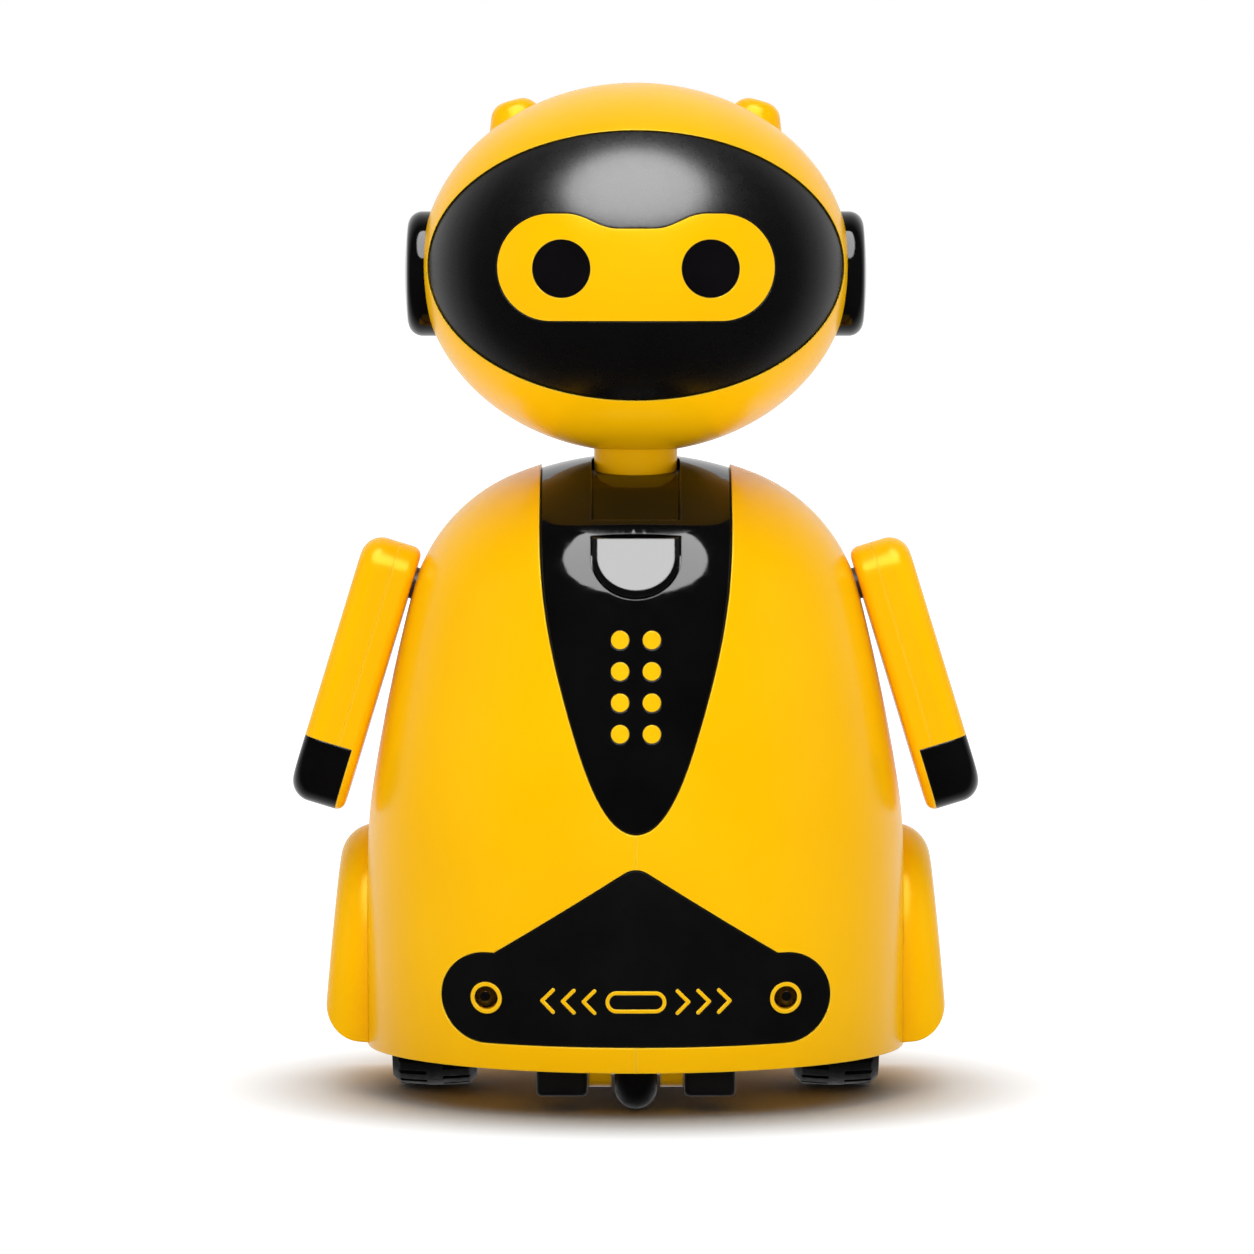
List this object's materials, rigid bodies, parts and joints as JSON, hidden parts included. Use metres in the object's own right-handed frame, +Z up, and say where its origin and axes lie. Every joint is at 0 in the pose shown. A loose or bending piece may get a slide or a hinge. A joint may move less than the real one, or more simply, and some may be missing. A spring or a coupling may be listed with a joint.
{
  "type": "two wheel toy robot car",
  "caption": "Small round toy robot with a swivelling visor head and swinging arms, driven by a geared wheel on each side and steadied by a front roller.",
  "frame": {"origin": "floor point under the middle of the round body, level with the drive axle line", "axes": "+Z up; the robot faces -Y; its own left side is +X"},
  "size_m": [0.103, 0.0806, 0.1504],
  "materials": {
    "yellow_plastic": "glossy moulded ABS",
    "black_plastic": "polished black ABS",
    "lens": "dark clear lens",
    "rubber": "soft moulded rubber",
    "dark_plastic": "fine texture",
    "nylon": "natural nylon",
    "brass": "machined",
    "steel": "plated",
    "board": "green solder mask",
    "component": "moulded package",
    "cell": "plain sleeve",
    "led": "clear epoxy"
  },
  "bodies": {
    "body": {"body_shell_left": "yellow_plastic", "body_shell_right": "yellow_plastic", "chest_band": "black_plastic", "speaker_studs": "yellow_plastic", "speaker": "dark_plastic", "mode_switch": "dark_plastic", "front_plate": "black_plastic", "plate_trim": "yellow_plastic", "sensor_rings": "yellow_plastic", "obstacle_sensors": "lens", "fender_left": "yellow_plastic", "fender_right": "yellow_plastic", "chassis_base": "yellow_plastic", "battery_door": "black_plastic", "battery_box": "dark_plastic", "battery_cells": "cell", "battery_contacts": "steel", "power_switch": "dark_plastic", "base_screws": "steel", "roller_pin": "steel", "line_sensors": "black_plastic", "motor_left": "steel", "motor_right": "steel", "motor_brackets": "dark_plastic", "idler_pins": "steel", "main_board": "board", "board_components": "component", "neck_bush": "dark_plastic"},
    "head": {"neck_tube": "yellow_plastic", "head_shell_top": "yellow_plastic", "head_shell_bottom": "yellow_plastic", "head_screws": "steel", "visor": "black_plastic", "eye_mask": "yellow_plastic", "eye_lenses": "lens", "eye_board": "board", "eye_leds": "led", "ear_left": "black_plastic", "ear_right": "black_plastic"},
    "arm_left": {"arm_cover_left": "yellow_plastic", "arm_inner_left": "yellow_plastic", "hand_left": "black_plastic", "shoulder_pin_left": "nylon"},
    "arm_right": {"arm_cover_right": "yellow_plastic", "arm_inner_right": "yellow_plastic", "hand_right": "black_plastic", "shoulder_pin_right": "nylon"},
    "wheel_left": {"drive_axle_left": "steel", "wheel_hub_left": "dark_plastic", "tyre_left": "rubber"},
    "idler_left": {"idler_gear_left": "nylon"},
    "pinion_left": {"motor_pinion_left": "brass"},
    "wheel_right": {"drive_axle_right": "steel", "wheel_hub_right": "dark_plastic", "tyre_right": "rubber"},
    "idler_right": {"idler_gear_right": "nylon"},
    "pinion_right": {"motor_pinion_right": "brass"},
    "roller": {"roller": "black_plastic"},
    "mode_button": {"mode_button": "black_plastic"},
    "switch_knob": {"switch_knob": "black_plastic"}
  },
  "joints": [
    {"name": "head_turn", "type": "hinge", "parent": "body", "child": "head", "pos_m": [0, -0.006, 0.09], "axis": [0, 0, 1], "range_deg": [-60, 60]},
    {"name": "arm_swing_left", "type": "hinge", "parent": "body", "child": "arm_left", "pos_m": [0.03315, 0, 0.07559], "axis": [-0.9563, 0, -0.2924], "range_deg": [-135, 135]},
    {"name": "arm_swing_right", "type": "hinge", "parent": "body", "child": "arm_right", "pos_m": [-0.03315, 0, 0.07559], "axis": [-0.9563, 0, 0.2924], "range_deg": [-135, 135]},
    {"name": "wheel_spin_left", "type": "hinge", "parent": "body", "child": "wheel_left", "pos_m": [0.03, 0, 0.012], "axis": [1, 0, 0], "continuous": true},
    {"name": "idler_spin_left", "type": "hinge", "parent": "body", "child": "idler_left", "pos_m": [0.019, 0.0045, 0.01979], "axis": [1, 0, 0], "continuous": true},
    {"name": "motor_spin_left", "type": "hinge", "parent": "body", "child": "pinion_left", "pos_m": [0.018, -0.0005, 0.02845], "axis": [1, 0, 0], "continuous": true},
    {"name": "wheel_spin_right", "type": "hinge", "parent": "body", "child": "wheel_right", "pos_m": [-0.03, 0, 0.012], "axis": [1, 0, 0], "continuous": true},
    {"name": "idler_spin_right", "type": "hinge", "parent": "body", "child": "idler_right", "pos_m": [-0.019, 0.0045, 0.01979], "axis": [1, 0, 0], "continuous": true},
    {"name": "motor_spin_right", "type": "hinge", "parent": "body", "child": "pinion_right", "pos_m": [-0.018, -0.0005, 0.02845], "axis": [1, 0, 0], "continuous": true},
    {"name": "roller_spin", "type": "hinge", "parent": "body", "child": "roller", "pos_m": [0, -0.029, 0.006], "axis": [1, 0, 0], "continuous": true},
    {"name": "mode_button_press", "type": "slide", "parent": "body", "child": "mode_button", "axis": [0, 0.8616, -0.5075], "range_m": [0, 0.0008], "stiffness_N_per_m": 400, "springref_m": -0.0005},
    {"name": "power_switch_slide", "type": "slide", "parent": "body", "child": "switch_knob", "axis": [1, 0, 0], "range_m": [0, 0.004]}
  ],
  "couplings": [
    {"joint": "idler_spin_left", "follows": "wheel_spin_left", "ratio": -2.6},
    {"joint": "motor_spin_left", "follows": "wheel_spin_left", "ratio": 7.8},
    {"joint": "idler_spin_right", "follows": "wheel_spin_right", "ratio": -2.6},
    {"joint": "motor_spin_right", "follows": "wheel_spin_right", "ratio": 7.8}
  ]
}
